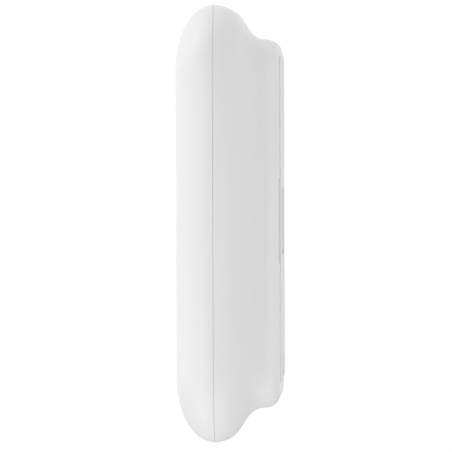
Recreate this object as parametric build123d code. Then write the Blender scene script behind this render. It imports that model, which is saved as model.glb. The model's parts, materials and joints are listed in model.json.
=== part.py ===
from build123d import *
import math
import os

# Wall battery unit: a rounded two-shell housing that hangs on a steel wall bracket.
#
# Millimetres. X is the width, the front faces -Y, the wall is the plane Y = 0 and Z is up.
# The origin is on the bracket's back face, at half the height of the housing.

# Housing outline
HEIGHT = 1000.0
WIDTH = 660.0
DEPTH = 239.8
CORNER_R = 160.0
HALF_H = HEIGHT / 2
HALF_W = WIDTH / 2
FRONT_Y = -DEPTH

# Housing section, from the front face back to the wall side
CROWN_DEPTH = 87.8
CROWN_REACH = 142.0
SHOULDER_R = 68.6
FLANK_ANGLE = 57.0
FLANK_LENGTH = 30.6
COVE_R = 48.2
LEDGE_ANGLE = 6.0
HEEL_R = 32.0
SHELL_BACK_Y = -3.05

# Shells and the seam between them, which runs round the widest line
COVER_WALL = 3.5
SHELL_WALL = 4.0
SEAM_Y = FRONT_Y + CROWN_DEPTH
SEAM_GAP = 0.7
FIN_RECESS = 1.2
STUD_SHOULDER_Y = SEAM_Y - 5.0
STUD_BALL_Y = SEAM_Y + 16.0

# Wall bracket and the hooks that carry the unit
PLATE_T = 3.0
PLATE_W = 430.0
PLATE_CORNER_R = 30.0
PLATE_EDGE_R = 2.4
PLATE_NOTCH_CORNER_R = 12.0
PLATE_WINDOW_CORNER_R = 8.0
PLATE_TOP = 383.0
PLATE_BOTTOM = -362.0
PLATE_WINDOWS = (((-110.0, 110.0), (-75.0, 78.0)), ((-70.0, 70.0), (-352.0, -306.0)))
PLATE_NOTCH_X = 185.0
PLATE_NOTCH_Z = (-112.0, 126.0)
HOOK_Z = (-262.0, 238.0)
HOOK_X = 105.0
HOOK_W = 36.0
HOOK_REACH = 20.0
HOOK_TIP = 20.0
HOOK_T = 4.0
RIVET_HOLE_R = 2.05
WALL_BOLT_X = 150.0
WALL_BOLT_RISE = 8.0
WALL_BOLT_R = 4.5
LIFT = 30.0

# Back panel and its hook windows
PANEL_T = 2.0
PANEL_HALF_W = 197.5
PANEL_HALF_H = 369.5
REBATE = 0.5
SHELL_OPENING_HALF_W = 180.0
SHELL_OPENING_HALF_H = 352.0
WINDOW_X = (78.0, 166.0)
WINDOW_BELOW = LIFT + 8.0
WINDOW_ABOVE = 28.0

# Frame inside the rear shell
POST_X = (172.0, 200.0)
POST_Y = (-60.0, SHELL_BACK_Y - SHELL_WALL)
POST_HALF_H = 365.0
SHEET_T = 2.5
RAIL_HALF_W = 171.9
RAIL_Y = (-34.0, SHELL_BACK_Y - PANEL_T)
TONGUE_Y = (-14.5, -11.5)

# Battery pack
PACK_HALF_W = 240.0
PACK_Z = (-172.0, 350.0)
PACK_Y = (-184.0, -60.0)
CELL = (148.0, 91.0, 26.5)
CELL_PITCH_X = 154.0
CELL_PITCH_Z = 27.2
CELL_ROWS = 18
CELL_BOTTOM = -155.0
CELL_BACK_Y = -74.0
TERMINAL_X = 52.0

# Electronics bay
CONVERTER_X = (-175.0, 35.0)
CONVERTER_Y = (-150.0, -60.0)
CONVERTER_Z = (-340.0, -190.0)
BAY_X = (45.0, 215.0)
BAY_Z = (-345.0, -182.0)
BAY_PLATE_Y = (-62.5, -60.0)

# Controls on the left side
ISOLATOR_Y = -120.0
ISOLATOR_Z = -230.0
ISOLATOR_FLOOR_X = -295.0
BEZEL_R = 22.0
KNOB_R = 16.0
SHAFT_R = 4.0
RUNNING_GAP = 0.05
BUTTON_Y = -120.0
BUTTON_Z = -160.0
BUTTON_FLOOR_X = -304.0
BUTTON_R = 8.0
STEM_R = 2.5
LIGHT_Z = -132.0
LIGHT_R = 4.0

# Air path
VENT_X = 140.0
VENT_Y = (-48.0, -33.0)
FAN_SIZE = 60.0
FAN_DEPTH = 25.0
FAN_X = 60.0
FAN_Y = -42.0
FAN_Z = -397.0
FAN_BORE_R = 28.2
FAN_TIP_R = 27.0
FAN_BLADES = 7

# Coolant circuit
PUMP = (280.0, -150.0, -120.0)
PUMP_OUTLET_X = 268.0
TANK_X = (256.0, 304.0)
TANK_Y = (-190.0, -130.0)
TANK_Z = (50.0, 190.0)
HOSE_R = 7.5
HOSE_BORE_R = 5.05
HOSE_BEND_R = 16.0
FEED_Y = -201.0
PLATE_NIPPLE = (205.0, -67.5, 366.0)
EXCHANGER_NIPPLE = (150.0, -46.0)
FEED_TOP_Z = 395.0
LINK_TOP_Z = 396.0
BACK_TOP_Z = 374.0
EXCHANGER_HALF_W = 160.0
EXCHANGER_Z = (-200.0, 150.0)
EXCHANGER_Y = (-56.0, -38.0)

# Hand-holds at the back edge of the sides
HOLD_Z = (-90.0, 104.0)
HOLD_LIP_Y = -5.0
HOLD_X = (205.0, 228.0, 262.0)
HOLD_DEEP_Y = -26.0
LINER_T = 2.0

# Rear conduit hubs
HUB_X = 40.0
HUB_Z = -330.0
HUB_BORE_R = 16.0
HUB_R = 21.0
HUB_NECK_R = 18.4


def block(x_span, y_span, z_span):
    """A box from three (low, high) spans."""
    spans = (x_span, y_span, z_span)
    sizes = [high - low for low, high in spans]
    middles = [(high + low) / 2 for low, high in spans]
    return Pos(*middles) * Box(*sizes)


def rod(radius, start, end):
    """A round bar between two points."""
    along = Vector(*end) - Vector(*start)
    bar = Cylinder(radius, along.length, align=(Align.CENTER, Align.CENTER, Align.MIN))
    return Plane(origin=start, z_dir=along) * bar


def tube(radius, bore_radius, start, end):
    """A round pipe between two points."""
    return rod(radius, start, end) - rod(bore_radius, start, end)


def both_sides(shape):
    """The shape and its mirror image across the middle of the width."""
    return [shape, mirror(shape, Plane.YZ)]


def group(shapes):
    """Several separate solids as one node."""
    return Compound(children=[solid for shape in shapes for solid in shape.solids()])


# Housing ---------------------------------------------------------------------


def ledge_length():
    """The straight stretch that brings the section's back to SHELL_BACK_Y."""
    flank = math.radians(FLANK_ANGLE)
    ledge = math.radians(LEDGE_ANGLE)
    depth = SHELL_BACK_Y - FRONT_Y - CROWN_DEPTH
    depth -= SHOULDER_R * math.sin(flank) + FLANK_LENGTH * math.cos(flank)
    depth -= COVE_R * (math.sin(flank) - math.sin(ledge))
    depth -= HEEL_R * (1 - math.sin(ledge))
    return depth / math.cos(ledge)


def half_section(half, core, skin):
    """The housing's section from `core` out to `half`, `skin` inside its outer face.

    Local x is the depth axis Y and local y runs outwards.
    """
    crown = EllipticalCenterArc(
        (FRONT_Y + CROWN_DEPTH, half - CROWN_REACH),
        CROWN_DEPTH - skin,
        CROWN_REACH - skin,
        start_angle=90,
        arc_size=90,
    )
    top = (FRONT_Y + CROWN_DEPTH, half - skin)
    shoulder = JernArc(top, (1, 0), SHOULDER_R - skin, -FLANK_ANGLE)
    flank = Line(shoulder @ 1, shoulder @ 1 + (shoulder % 1) * FLANK_LENGTH)
    cove = JernArc(flank @ 1, flank % 1, COVE_R + skin, FLANK_ANGLE - LEDGE_ANGLE)
    ledge = Line(cove @ 1, cove @ 1 + (cove % 1) * ledge_length())
    heel = JernArc(ledge @ 1, ledge % 1, HEEL_R - skin, LEDGE_ANGLE - 90)
    back = heel @ 1
    front = crown @ 1
    core_line = Polyline(back, (back.X, core), (front.X, core), front)
    return make_face([crown, shoulder, flank, cove, ledge, heel, core_line])


def housing(skin):
    """The whole housing as one block, `skin` inside its outer face."""
    reach_x = HALF_W - CORNER_R
    reach_z = HALF_H - CORNER_R
    sideways = Plane(origin=(0, 0, 0), x_dir=(0, 1, 0), z_dir=(0, 0, -1))
    corner_plane = Plane(origin=(reach_x, 0, reach_z), x_dir=(0, 1, 0), z_dir=(1, 0, 0))
    top = extrude(Plane.YZ * half_section(HALF_H, 0, skin), reach_x)
    side = extrude(sideways * half_section(HALF_W, reach_x, skin), -reach_z)
    corner_axis = Axis((reach_x, 0, reach_z), (0, 1, 0))
    corner = revolve(corner_plane * half_section(CORNER_R, 0, skin), corner_axis, 90)
    quarter = top + side + corner
    upper = quarter + mirror(quarter, Plane.YZ)
    return upper + mirror(upper, Plane.XY)


def ahead_of_seam(shift):
    """All the space in front of the seam plane, once that is moved back by `shift`."""
    return block((-WIDTH, WIDTH), (FRONT_Y - 10, SEAM_Y + shift), (-HEIGHT, HEIGHT))


def hold_pocket(grow):
    """The hand-hold hollow on the right side, with every wall moved out by `grow`."""
    inner, lip, outer = HOLD_X
    low, high = HOLD_Z
    plan = Polyline(
        (inner - grow, HOLD_DEEP_Y - grow),
        (lip, HOLD_LIP_Y - grow),
        (outer, HOLD_LIP_Y - grow),
        (outer, 5),
        (inner - grow, 5),
        close=True,
    )
    wedge = extrude(Pos(0, 0, low - grow) * make_face(plan), high - low + 2 * grow)
    deep = HOLD_DEEP_Y - grow
    side = RectangleRounded(80, high - low + 2 * grow, 24 + grow, align=(Align.MIN, Align.CENTER))
    ends = extrude(Plane.YZ * Pos(deep, (low + high) / 2) * side, outer + 10)
    return wedge & ends


def vent_slot(z_side):
    """The prism that cuts the vent through the top (+1) or bottom (-1) ledge."""
    width = 2 * VENT_X
    depth = VENT_Y[1] - VENT_Y[0]
    outline = RectangleRounded(width, depth, 5)
    middle_y = (VENT_Y[0] + VENT_Y[1]) / 2
    return extrude(Pos(0, middle_y, z_side * (HALF_H - 100)) * outline, z_side * 60)


def front_cover(solid, hollow):
    """The domed front shell."""
    return (solid - hollow) & ahead_of_seam(-SEAM_GAP / 2)


def rear_shell(solid, hollow):
    """The rear shell, open at the back for the panel and cut for vents, holds and controls."""
    shell = (solid - hollow) - ahead_of_seam(SEAM_GAP / 2)
    opening = RectangleRounded(2 * SHELL_OPENING_HALF_W, 2 * SHELL_OPENING_HALF_H, 10)
    rebate = RectangleRounded(2 * (PANEL_HALF_W + REBATE), 2 * (PANEL_HALF_H + REBATE), 16)
    shell -= extrude(Plane.XZ * opening, 20)
    shell -= extrude(Plane.XZ * rebate, -SHELL_BACK_Y + PANEL_T)
    for z_side in (1, -1):
        shell -= vent_slot(z_side)
    for pocket in both_sides(hold_pocket(0)):
        shell -= pocket
    left = -HALF_W - 5
    shell -= rod(BEZEL_R + 0.2, (left, ISOLATOR_Y, ISOLATOR_Z), (-270, ISOLATOR_Y, ISOLATOR_Z))
    shell -= rod(BUTTON_R + 3.2, (left, BUTTON_Y, BUTTON_Z), (-290, BUTTON_Y, BUTTON_Z))
    shell -= rod(LIGHT_R + 0.2, (left, BUTTON_Y, LIGHT_Z), (-290, BUTTON_Y, LIGHT_Z))
    for x, z in panel_screw_places():
        shell -= rod(1.7, (x, -12, z), (x, 0, z))
    return shell


def seam_gasket(shell_inside):
    """A rubber ring inside the rear shell, with a fin that stands in the seam."""
    ring = (shell_inside - housing(8.5)) & (ahead_of_seam(9) - ahead_of_seam(-3))
    fin = (housing(FIN_RECESS) - shell_inside) & (ahead_of_seam(SEAM_GAP / 2) - ahead_of_seam(-0.2))
    return ring + fin


def handhold_liners(shell_inside):
    """Two moulded cups that close the hand-holds off from the inside."""
    cup = (hold_pocket(LINER_T) - hold_pocket(0)) & shell_inside
    return group(both_sides(cup))


def vent_grille(solid, z_side):
    """A barred insert that follows the ledge, set in 0.6 mm below its surface."""
    insert = (solid_slice(solid, z_side) - housing(3.6)) & housing(0.6)
    frame = RectangleRounded(2 * VENT_X - 0.6, VENT_Y[1] - VENT_Y[0] - 0.6, 4.7)
    slots = GridLocations(8, 0, 33, 1) * SlotOverall(10, 5, rotation=90)
    middle_y = (VENT_Y[0] + VENT_Y[1]) / 2
    place = Pos(0, middle_y, z_side * (HALF_H - 100))
    return insert & extrude(place * (frame - slots), z_side * 60)


def solid_slice(solid, z_side):
    """The part of the housing near one ledge."""
    low, high = sorted((z_side * (HALF_H - 60), z_side * (HALF_H - 100)))
    return solid & block((-VENT_X - 10, VENT_X + 10), (-60, -20), (low, high))


def panel_screw_places():
    """Where the back panel's screws go, as (x, z)."""
    tall = [(x, z) for x in (-189.0, 189.0) for z in (-330, -200, -70, 70, 200, 330)]
    wide = [(x, z) for x in (-100, 0, 100) for z in (-361.0, 361.0)]
    return tall + wide


def back_panel():
    """The sheet that closes the back, with windows for the hooks and the conduit hubs."""
    sheet = RectangleRounded(2 * PANEL_HALF_W, 2 * PANEL_HALF_H, 15.5)
    width = WINDOW_X[1] - WINDOW_X[0]
    tall = WINDOW_BELOW + WINDOW_ABOVE
    middle_x = sum(WINDOW_X) / 2
    for hook_z in HOOK_Z:
        for side in (-1, 1):
            centre = Pos(side * middle_x, hook_z + (WINDOW_ABOVE - WINDOW_BELOW) / 2)
            sheet -= centre * RectangleRounded(width, tall, 6)
    for side in (-1, 1):
        sheet -= Pos(side * HUB_X, HUB_Z) * Circle(HUB_NECK_R + 0.1)
    panel = extrude(Plane.XZ.offset(-SHELL_BACK_Y) * sheet, PANEL_T)
    for x, z in panel_screw_places():
        panel -= rod(2.2, (x, -8, z), (x, 0, z))
        panel -= screw_head_cone(x, z, 0.1)
    return panel


def screw_head_cone(x, z, clearance):
    """The countersunk head of a panel screw."""
    cone = Cone(2.0 + clearance, 3.8 + clearance, 1.6, align=(Align.CENTER, Align.CENTER, Align.MAX))
    return Plane(origin=(x, SHELL_BACK_Y, z), z_dir=(0, 1, 0)) * cone


def back_panel_screws():
    """Countersunk screws, each with a hexagon socket."""
    screws = []
    for x, z in panel_screw_places():
        screw = screw_head_cone(x, z, 0) + rod(1.6, (x, -13, z), (x, SHELL_BACK_Y - 1.5, z))
        socket = Plane(origin=(x, SHELL_BACK_Y + 0.1, z), z_dir=(0, -1, 0)) * RegularPolygon(1.25, 6)
        screws.append(screw - extrude(socket, 1.4))
    return group(screws)


# Wall bracket ----------------------------------------------------------------


def hook_places():
    """Where the four hooks stand, as (x, z of the ledge that carries the unit)."""
    return [(side * HOOK_X, z) for z in HOOK_Z for side in (-1, 1)]


def rivet_places():
    """Where the hooks are riveted to the plate, as (x, z)."""
    return [(x + dx, z + 12) for x, z in hook_places() for dx in (-10, 10)]


def wall_bracket():
    """The powder-coated steel plate that is bolted to the wall."""
    middle = (PLATE_TOP + PLATE_BOTTOM) / 2
    plate = Pos(0, middle) * RectangleRounded(PLATE_W, PLATE_TOP - PLATE_BOTTOM, PLATE_CORNER_R)
    for (left, right), (low, high) in PLATE_WINDOWS:
        window = RectangleRounded(right - left, high - low, PLATE_WINDOW_CORNER_R)
        plate -= Pos(0, (low + high) / 2) * window
    notch_low, notch_high = PLATE_NOTCH_Z
    for side in (-1, 1):
        centre = Pos(side * (PLATE_NOTCH_X + PLATE_W / 2), (notch_low + notch_high) / 2)
        plate -= centre * RectangleRounded(PLATE_W, notch_high - notch_low, PLATE_NOTCH_CORNER_R)
    for z in HOOK_Z:
        for side in (-1, 1):
            plate -= Pos(side * WALL_BOLT_X, z + WALL_BOLT_RISE) * Circle(WALL_BOLT_R)
    for x, z in rivet_places():
        plate -= Pos(x, z) * Circle(RIVET_HOLE_R)
    sheet = extrude(Plane.XZ * plate, PLATE_T)
    return fillet([edge for edge in sheet.edges().filter_by(Axis.Z) if is_rolled(edge)], PLATE_EDGE_R)


def is_rolled(edge):
    """Whether a plate edge is rolled: those on the wall side, except the large window's."""
    centre = edge.center()
    low, high = PLATE_NOTCH_Z
    in_large_window = abs(centre.X) < PLATE_NOTCH_X - 1 and low < centre.Z < high
    return centre.Y > -PLATE_T / 2 and not in_large_window


def bracket_hooks():
    """Four bent steel hooks that point up behind the unit's tongues."""
    back = -PLATE_T
    front = back - HOOK_REACH + HOOK_T
    hooks = []
    for x, z in hook_places():
        span = (x - HOOK_W / 2, x + HOOK_W / 2)
        hook = block(span, (back - 3, back), (z - HOOK_T, z + 22))
        hook += block(span, (front - 3, back), (z - HOOK_T, z))
        hook += block(span, (front - 3, front), (z - HOOK_T, z + HOOK_TIP))
        for dx in (-10, 10):
            hook -= rod(RIVET_HOLE_R, (x + dx, back - 4, z + 12), (x + dx, 0, z + 12))
        hooks.append(hook)
    return group(hooks)


def hook_rivets():
    """Domed rivets through each hook's foot and the plate."""
    rivets = []
    for x, z in rivet_places():
        shank = rod(2.0, (x, -6, z), (x, 0, z))
        head = rod(4.0, (x, -7.4, z), (x, -6, z))
        rivets.append(shank + chamfer(head.faces().sort_by(Axis.Y)[0].edges(), 0.8))
    return group(rivets)


# Frame -----------------------------------------------------------------------


def rail_bolt_places():
    """Where the hanger rails are bolted to the posts, as (y, z)."""
    return [(-25.0, z + dz) for z in HOOK_Z for dz in (-24.0, 18.0)]


def hanger_rail(hook_z):
    """A folded steel channel, open at the back, whose two tongues drop behind the hooks."""
    low = hook_z - WINDOW_BELOW - 2
    high = hook_z + WINDOW_ABOVE + 6
    outer = block((-RAIL_HALF_W, RAIL_HALF_W), RAIL_Y, (low, high))
    inner_y = (RAIL_Y[0] + SHEET_T, RAIL_Y[1] + 1)
    half = RAIL_HALF_W - SHEET_T
    rail = outer - block((-half, half), inner_y, (low + SHEET_T, high - SHEET_T))
    for side in (-1, 1):
        span = (side * HOOK_X - 25, side * HOOK_X + 25)
        rail += block(span, TONGUE_Y, (hook_z, high - SHEET_T / 2))
    for y, z in rail_bolt_places():
        if low < z < high:
            rail -= rod(3.1, (-RAIL_HALF_W - 1, y, z), (RAIL_HALF_W + 1, y, z))
    return rail


def chassis_frame():
    """Two C-section posts joined by a cross plate at the top and one at the bottom."""
    post = block(POST_X, POST_Y, (-POST_HALF_H, POST_HALF_H))
    hollow = block(
        (POST_X[0] + SHEET_T, POST_X[1] + 1),
        (POST_Y[0] + SHEET_T, POST_Y[1] - SHEET_T),
        (-POST_HALF_H - 1, POST_HALF_H + 1),
    )
    post -= hollow
    for y, z in rail_bolt_places():
        post -= rod(3.1, (POST_X[0] - 1, y, z), (POST_X[0] + 5, y, z))
    for x, z in panel_screw_places():
        if x > POST_X[0]:
            post -= rod(1.7, (x, -14, z), (x, 0, z))
    frame = post + mirror(post, Plane.YZ)
    plate_y = (POST_Y[0], POST_Y[0] + SHEET_T)
    span = (-POST_X[0] - 1, POST_X[0] + 1)
    frame += block(span, plate_y, (POST_HALF_H - 12, POST_HALF_H))
    frame += block(span, plate_y, (-POST_HALF_H, -POST_HALF_H + 18))
    return frame


def hanger_bolts():
    """Hexagon bolts that join the hanger rails to the posts."""
    bolts = []
    for y, z in rail_bolt_places():
        start = (RAIL_HALF_W - SHEET_T - 4, y, z)
        bolt = rod(3.0, start, (POST_X[0] + SHEET_T + 6, y, z))
        head = Plane(origin=start, z_dir=(1, 0, 0)) * RegularPolygon(5.5, 6)
        bolt += extrude(head, 4)
        nut = Plane(origin=(POST_X[0] + SHEET_T, y, z), z_dir=(1, 0, 0)) * RegularPolygon(5.5, 6)
        bolt += extrude(nut, 5)
        bolts += both_sides(bolt)
    return group(bolts)


# Battery pack ----------------------------------------------------------------


def pack_tray():
    """The pressed tray that holds the cells, with a flange round its open front."""
    inner = PACK_HALF_W - SHEET_T
    outer_box = block((-PACK_HALF_W, PACK_HALF_W), PACK_Y, PACK_Z)
    flange_z = (PACK_Z[0] - 12, PACK_Z[1] + 12)
    flange_x = PACK_HALF_W + 12
    tray = outer_box + block((-flange_x, flange_x), (PACK_Y[0], PACK_Y[0] + SHEET_T), flange_z)
    tray -= block(
        (-inner, inner),
        (PACK_Y[0] - 1, PACK_Y[1] - SHEET_T),
        (PACK_Z[0] + SHEET_T, PACK_Z[1] - SHEET_T),
    )
    for x in (-205, 205):
        tray -= rod(5.1, (x, -67.5, 340), (x, -67.5, 360))
    tray -= rod(8.1, (205, -120, -180), (205, -120, -160))
    for x, z in lid_screw_places():
        tray -= rod(2.1, (x, -190, z), (x, -180, z))
    return tray


def lid_screw_places():
    """Where the pack's lid screws go, as (x, z)."""
    side_x = PACK_HALF_W + 6
    low = PACK_Z[0] - 6
    high = PACK_Z[1] + 6
    across = [(x, z) for x in (-160, -80, 0, 80, 160) for z in (low, high)]
    along = [(x, low + (high - low) * i / 6) for x in (-side_x, side_x) for i in range(7)]
    return across + along


def pack_lid():
    """The pack's front lid, with a raised field."""
    flange_x = PACK_HALF_W + 12
    z_span = (PACK_Z[0] - 12, PACK_Z[1] + 12)
    lid = block((-flange_x, flange_x), (PACK_Y[0] - 3.5, PACK_Y[0] - 1.5), z_span)
    field = block((-215, 215), (PACK_Y[0] - 9.5, PACK_Y[0] - 3.5), (PACK_Z[0] + 20, PACK_Z[1] - 20))
    field = chamfer(field.faces().sort_by(Axis.Y)[0].edges(), 5)
    hollow = block((-208, 208), (PACK_Y[0] - 7.5, PACK_Y[0] - 1), (PACK_Z[0] + 27, PACK_Z[1] - 27))
    lid = lid + field - hollow
    for x, z in lid_screw_places():
        lid -= rod(2.1, (x, -190, z), (x, -180, z))
    return lid


def pack_gasket():
    """The flat rubber gasket between the pack's tray and lid."""
    y_span = (PACK_Y[0] - 1.5, PACK_Y[0])
    outer_x = PACK_HALF_W + 11
    outer = block((-outer_x, outer_x), y_span, (PACK_Z[0] - 11, PACK_Z[1] + 11))
    inner_x = PACK_HALF_W - SHEET_T
    inner = block((-inner_x, inner_x), y_span, (PACK_Z[0] + SHEET_T, PACK_Z[1] - SHEET_T))
    gasket = outer - inner
    for x, z in lid_screw_places():
        gasket -= rod(2.3, (x, -190, z), (x, -180, z))
    return gasket


def pack_lid_screws():
    """Pan-head screws round the pack's lid."""
    screws = []
    for x, z in lid_screw_places():
        head_y = PACK_Y[0] - 3.5
        shank = rod(2.0, (x, head_y, z), (x, PACK_Y[0] + SHEET_T + 4, z))
        head = rod(4.0, (x, head_y - 3, z), (x, head_y, z))
        screws.append(shank + chamfer(head.faces().sort_by(Axis.Y)[0].edges(), 0.8))
    return group(screws)


def cell_column(column):
    """One column of prismatic cells, each with two terminals on its front."""
    centre_x = (column - 1) * CELL_PITCH_X
    back = CELL_BACK_Y
    front = back - CELL[1]
    cells = []
    for row in range(CELL_ROWS):
        low = CELL_BOTTOM + row * CELL_PITCH_Z
        can = block(
            (centre_x - CELL[0] / 2, centre_x + CELL[0] / 2), (front, back), (low, low + CELL[2])
        )
        can = fillet(can.edges().filter_by(Axis.Y), 3)
        middle = low + CELL[2] / 2
        for side in (-1, 1):
            x = centre_x + side * TERMINAL_X
            can += block((x - 12, x + 12), (front - 3, front), (middle - 7, middle + 7))
        cells.append(can)
    return group(cells)


def cell_busbars():
    """Copper links that join the cells of each column in series."""
    front = CELL_BACK_Y - CELL[1] - 3
    links = []
    for column in range(3):
        for row in range(CELL_ROWS - 1):
            side = 1 if row % 2 else -1
            x = (column - 1) * CELL_PITCH_X + side * TERMINAL_X
            low = CELL_BOTTOM + row * CELL_PITCH_Z + CELL[2] / 2 - 6
            link = block((x - 11, x + 11), (front - 2, front), (low, low + CELL_PITCH_Z + 12))
            links.append(link)
    return group(links)


def cell_sense_boards():
    """Slim circuit boards down the middle of each column, with one chip for each cell pair."""
    front = CELL_BACK_Y - CELL[1]
    boards = []
    top = CELL_BOTTOM + CELL_ROWS * CELL_PITCH_Z
    for column in range(3):
        x = (column - 1) * CELL_PITCH_X
        board = block((x - 22, x + 22), (front - 2.1, front - 0.5), (CELL_BOTTOM + 4, top - 4))
        for row in range(0, CELL_ROWS, 2):
            z = CELL_BOTTOM + (row + 1) * CELL_PITCH_Z
            board += block((x - 6, x + 6), (front - 3.6, front - 2.1), (z - 6, z + 6))
        boards.append(board)
    return group(boards)


def module_end_plates():
    """Aluminium plates that clamp each column of cells at its top and bottom."""
    plates = []
    top = CELL_BOTTOM + (CELL_ROWS - 1) * CELL_PITCH_Z + CELL[2]
    y_span = (CELL_BACK_Y - CELL[1], CELL_BACK_Y)
    for column in range(3):
        x = (column - 1) * CELL_PITCH_X
        for low, high in ((CELL_BOTTOM - 7.5, CELL_BOTTOM - 0.5), (top + 0.5, top + 7.5)):
            plate = block((x - 73, x + 73), y_span, (low, high))
            plates.append(fillet(plate.edges().filter_by(Axis.Y), 2))
    return group(plates)


def thermal_pads():
    """Soft pads between the cells and the cold plate."""
    top = CELL_BOTTOM + CELL_ROWS * CELL_PITCH_Z
    pads = []
    for column in range(3):
        x = (column - 1) * CELL_PITCH_X
        pads.append(block((x - 72, x + 72), (CELL_BACK_Y, CELL_BACK_Y + 1.5), (CELL_BOTTOM, top)))
    return group(pads)


def cold_plate():
    """The aluminium plate behind the cells, with two hose nipples at its top."""
    plate_y = (CELL_BACK_Y + 1.5, PACK_Y[1] - SHEET_T)
    plate = block((-232, 232), plate_y, (PACK_Z[0] + 10, PACK_Z[1] - 8))
    for x in (-205, 205):
        plate += rod(5, (x, -67.5, 335), (x, -67.5, 366))
        plate -= rod(3.2, (x, -67.5, 300), (x, -67.5, 367))
    plate -= rod(3.2, (-205, -67.5, 300), (205, -67.5, 300))
    return plate


def pack_vent_valve():
    """The pressure valve in the tray's floor."""
    x, y = 205, -120
    wall = PACK_Z[0]
    valve = rod(8, (x, y, wall - 1), (x, y, wall + SHEET_T + 3))
    cap = Plane(origin=(x, y, wall - 8), z_dir=(0, 0, 1)) * RegularPolygon(13, 6)
    return valve + extrude(cap, 8)


# Electronics -----------------------------------------------------------------


def converter_housing():
    """The die-cast converter case, finned at the back where the air passes."""
    case = block(CONVERTER_X, CONVERTER_Y, CONVERTER_Z)
    case = fillet(case.edges().filter_by(Axis.Y), 8)
    case -= block(
        (CONVERTER_X[0] + 4, CONVERTER_X[1] - 4),
        (CONVERTER_Y[0] - 1, CONVERTER_Y[1] - 6),
        (CONVERTER_Z[0] + 4, CONVERTER_Z[1] - 4),
    )
    fin_count = 20
    pitch = (CONVERTER_X[1] - CONVERTER_X[0] - 14) / (fin_count - 1)
    for fin in range(fin_count):
        x = CONVERTER_X[0] + 7 + fin * pitch
        z_span = (CONVERTER_Z[0] + 10, CONVERTER_Z[1] - 10)
        case += block((x - 1.2, x + 1.2), (CONVERTER_Y[1] - 1, -37), z_span)
    return case


def converter_lid():
    """The converter's flat front lid with its four screws' holes."""
    y_span = (CONVERTER_Y[0] - 3, CONVERTER_Y[0])
    lid = block(CONVERTER_X, y_span, CONVERTER_Z)
    lid = fillet(lid.edges().filter_by(Axis.Y), 8)
    ribs = block((-150, 10), (CONVERTER_Y[0] - 4.5, CONVERTER_Y[0] - 3), (-300, -296))
    for step in range(1, 4):
        ribs += Pos(0, 0, 22 * step) * block((-150, 10), (-154.5, -153), (-300, -296))
    return lid + ribs


def converter_board():
    """The power board on four pillars."""
    board = block((-165, 25), (-101.6, -100), (-330, -200))
    for x in (-155, 15):
        for z in (-320, -210):
            board += rod(4, (x, -100, z), (x, CONVERTER_Y[1] - 6, z))
    for z in (-310, -280, -250, -220):
        board += block((-30, -14), (-106, -101.6), (z - 8, z + 8))
    return board


def converter_inductors():
    """Three toroidal chokes."""
    chokes = []
    for z in (-308, -265, -222):
        ring = tube(19, 8, (-130, -121.6, z), (-130, -101.6, z))
        chokes.append(fillet(ring.edges().filter_by(GeomType.CIRCLE), 2))
    return group(chokes)


def converter_capacitors():
    """Two rows of electrolytic capacitors."""
    cans = []
    for x in (-90, -62):
        for row in range(4):
            z = -312 + row * 31
            can = rod(12, (x, -136, z), (x, -101.6, z))
            cans.append(chamfer(can.faces().sort_by(Axis.Y)[0].edges(), 1))
    return group(cans)


def control_board():
    """The battery controller on pillars in front of the converter's lid."""
    board = block((-165, 25), (-171.6, -170), (-332, -198))
    for x in (-160, 20):
        for z in (-327, -203):
            board += rod(3, (x, -170, z), (x, CONVERTER_Y[0] - 3, z))
    board += block((-120, -92), (-174, -171.6), (-280, -252))
    board += block((-60, -40), (-173.4, -171.6), (-300, -280))
    board += block((-150, -90), (-182, -171.6), (-218, -204))
    for x in (-20, 0):
        board += block((x - 7, x + 7), (-184, -171.6), (-326, -312))
    return board


def bay_plate():
    """The steel plate that carries the switchgear."""
    return block(BAY_X, BAY_PLATE_Y, BAY_Z)


def contactors():
    """The positive and negative main contactors."""
    units = []
    front = BAY_PLATE_Y[0]
    for x in (84, 140):
        case = block((x - 25, x + 25), (front - 56, front), (-250, -192))
        case = fillet(case.edges().filter_by(Axis.Y), 5)
        for dz in (-14, 14):
            case += rod(5, (x, front - 66, -221 + dz), (x, front - 56, -221 + dz))
        units.append(case)
    return group(units)


def fuse_block():
    """The insulating base that the main fuse is bolted to, with its two clips."""
    front = BAY_PLATE_Y[0]
    base = block((58, 166), (front - 14, front), (-290, -262))
    for x in (66, 158):
        base += block((x - 6, x + 6), (front - 18, front - 14), (-286, -266))
    return base


def main_fuse():
    """A cylindrical fuse with two bladed end caps."""
    y = BAY_PLATE_Y[0] - 30
    z = -276
    fuse = rod(11, (86, y, z), (138, y, z))
    fuse += rod(12, (78, y, z), (90, y, z))
    fuse += rod(12, (134, y, z), (146, y, z))
    fuse += block((61, 79), (y + 8, y + 12), (z - 8, z + 8))
    fuse += block((145, 163), (y + 8, y + 12), (z - 8, z + 8))
    fuse += block((76, 79), (y - 4, y + 12), (z - 8, z + 8))
    fuse += block((145, 148), (y - 4, y + 12), (z - 8, z + 8))
    return fuse


def terminal_place(index):
    """The x of one way of the terminal block."""
    return 68 + 22 * index


def terminal_block():
    """A six-way terminal block, with a wire mouth below and a screw hole in front of each way."""
    front = BAY_PLATE_Y[0]
    body = block((56, 190), (front - 30, front), (-340, -308))
    for index in range(6):
        x = terminal_place(index)
        body -= rod(5, (x, front - 31, -322), (x, front - 16, -322))
        body -= block((x - 7, x + 7), (front - 24, front - 8), (-341, -334))
    return body


def terminal_screws():
    """The slotted clamp screws of the terminal block."""
    front = BAY_PLATE_Y[0]
    screws = []
    for index in range(6):
        x = terminal_place(index)
        screw = rod(4.8, (x, front - 24, -322), (x, front - 16, -322))
        screws.append(screw - block((x - 5, x + 5), (front - 25, front - 22.5), (-322.6, -321.4)))
    return group(screws)


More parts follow.
